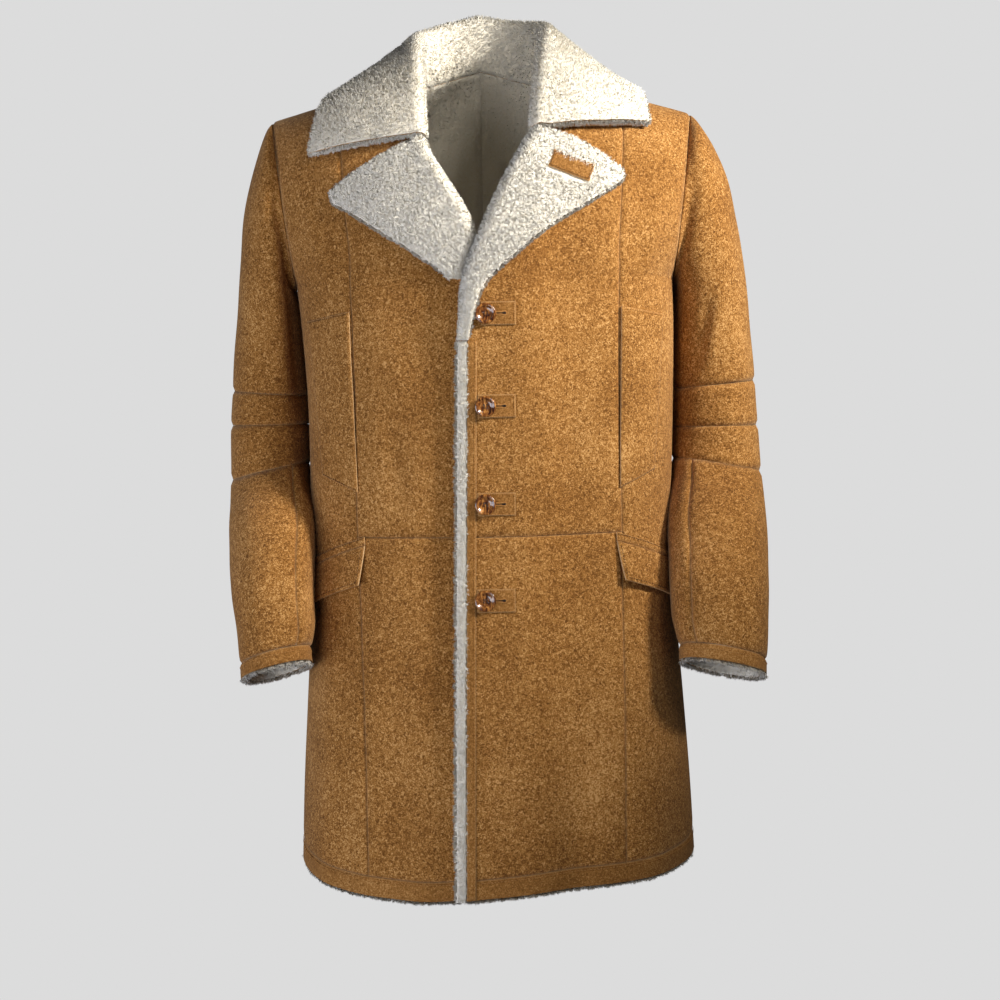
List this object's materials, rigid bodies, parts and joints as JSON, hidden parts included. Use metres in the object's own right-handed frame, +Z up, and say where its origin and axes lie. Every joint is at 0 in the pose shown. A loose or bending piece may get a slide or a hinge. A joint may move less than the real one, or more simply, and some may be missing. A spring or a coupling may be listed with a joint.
{
  "type": "shearling coat",
  "caption": "Single-breasted suede shearling coat with fleece collar and notched lapels, shaped as worn, empty and open.",
  "frame": {"origin": "middle of the shoulder line at the root of the neck, where the wearer's shoulders carry the coat", "axes": "+Z up, +X towards the wearer's left, -Y towards the coat's front"},
  "size_m": [0.612, 0.3429, 0.9836],
  "materials": {
    "suede": "napped suede",
    "pressed_suede": "smooth pressed suede",
    "fleece": "sheared wool",
    "horn": "polished horn"
  },
  "bodies": {
    "root": {"front_upper_left": "suede", "front_upper_right": "suede", "front_skirt_left": "suede", "front_skirt_right": "suede", "side_front_left": "suede", "side_front_right": "suede", "back_left": "suede", "back_right": "suede", "chest_pocket_left": "suede", "chest_pocket_right": "suede", "pocket_flap_left": "suede", "pocket_flap_right": "suede", "flap_welt_left": "suede", "flap_welt_right": "suede", "sleeve_upper_left": "suede", "sleeve_upper_right": "suede", "elbow_band_upper_left": "suede", "elbow_band_upper_right": "suede", "elbow_band_lower_left": "suede", "elbow_band_lower_right": "suede", "forearm_top_left": "suede", "forearm_top_right": "suede", "forearm_under_left": "suede", "forearm_under_right": "suede", "hem_band_left": "pressed_suede", "hem_band_right": "pressed_suede", "cuff_band_left": "pressed_suede", "cuff_band_right": "pressed_suede", "lapel_left": "fleece", "lapel_right": "fleece", "collar": "fleece", "front_edge_fleece": "fleece", "front_edge_band": "pressed_suede", "lapel_tab": "pressed_suede", "buttonhole_patch_1": "pressed_suede", "button_1": "horn", "buttonhole_patch_2": "pressed_suede", "button_2": "horn", "buttonhole_patch_3": "pressed_suede", "button_3": "horn", "buttonhole_patch_4": "pressed_suede", "button_4": "horn"}
  },
  "joints": []
}
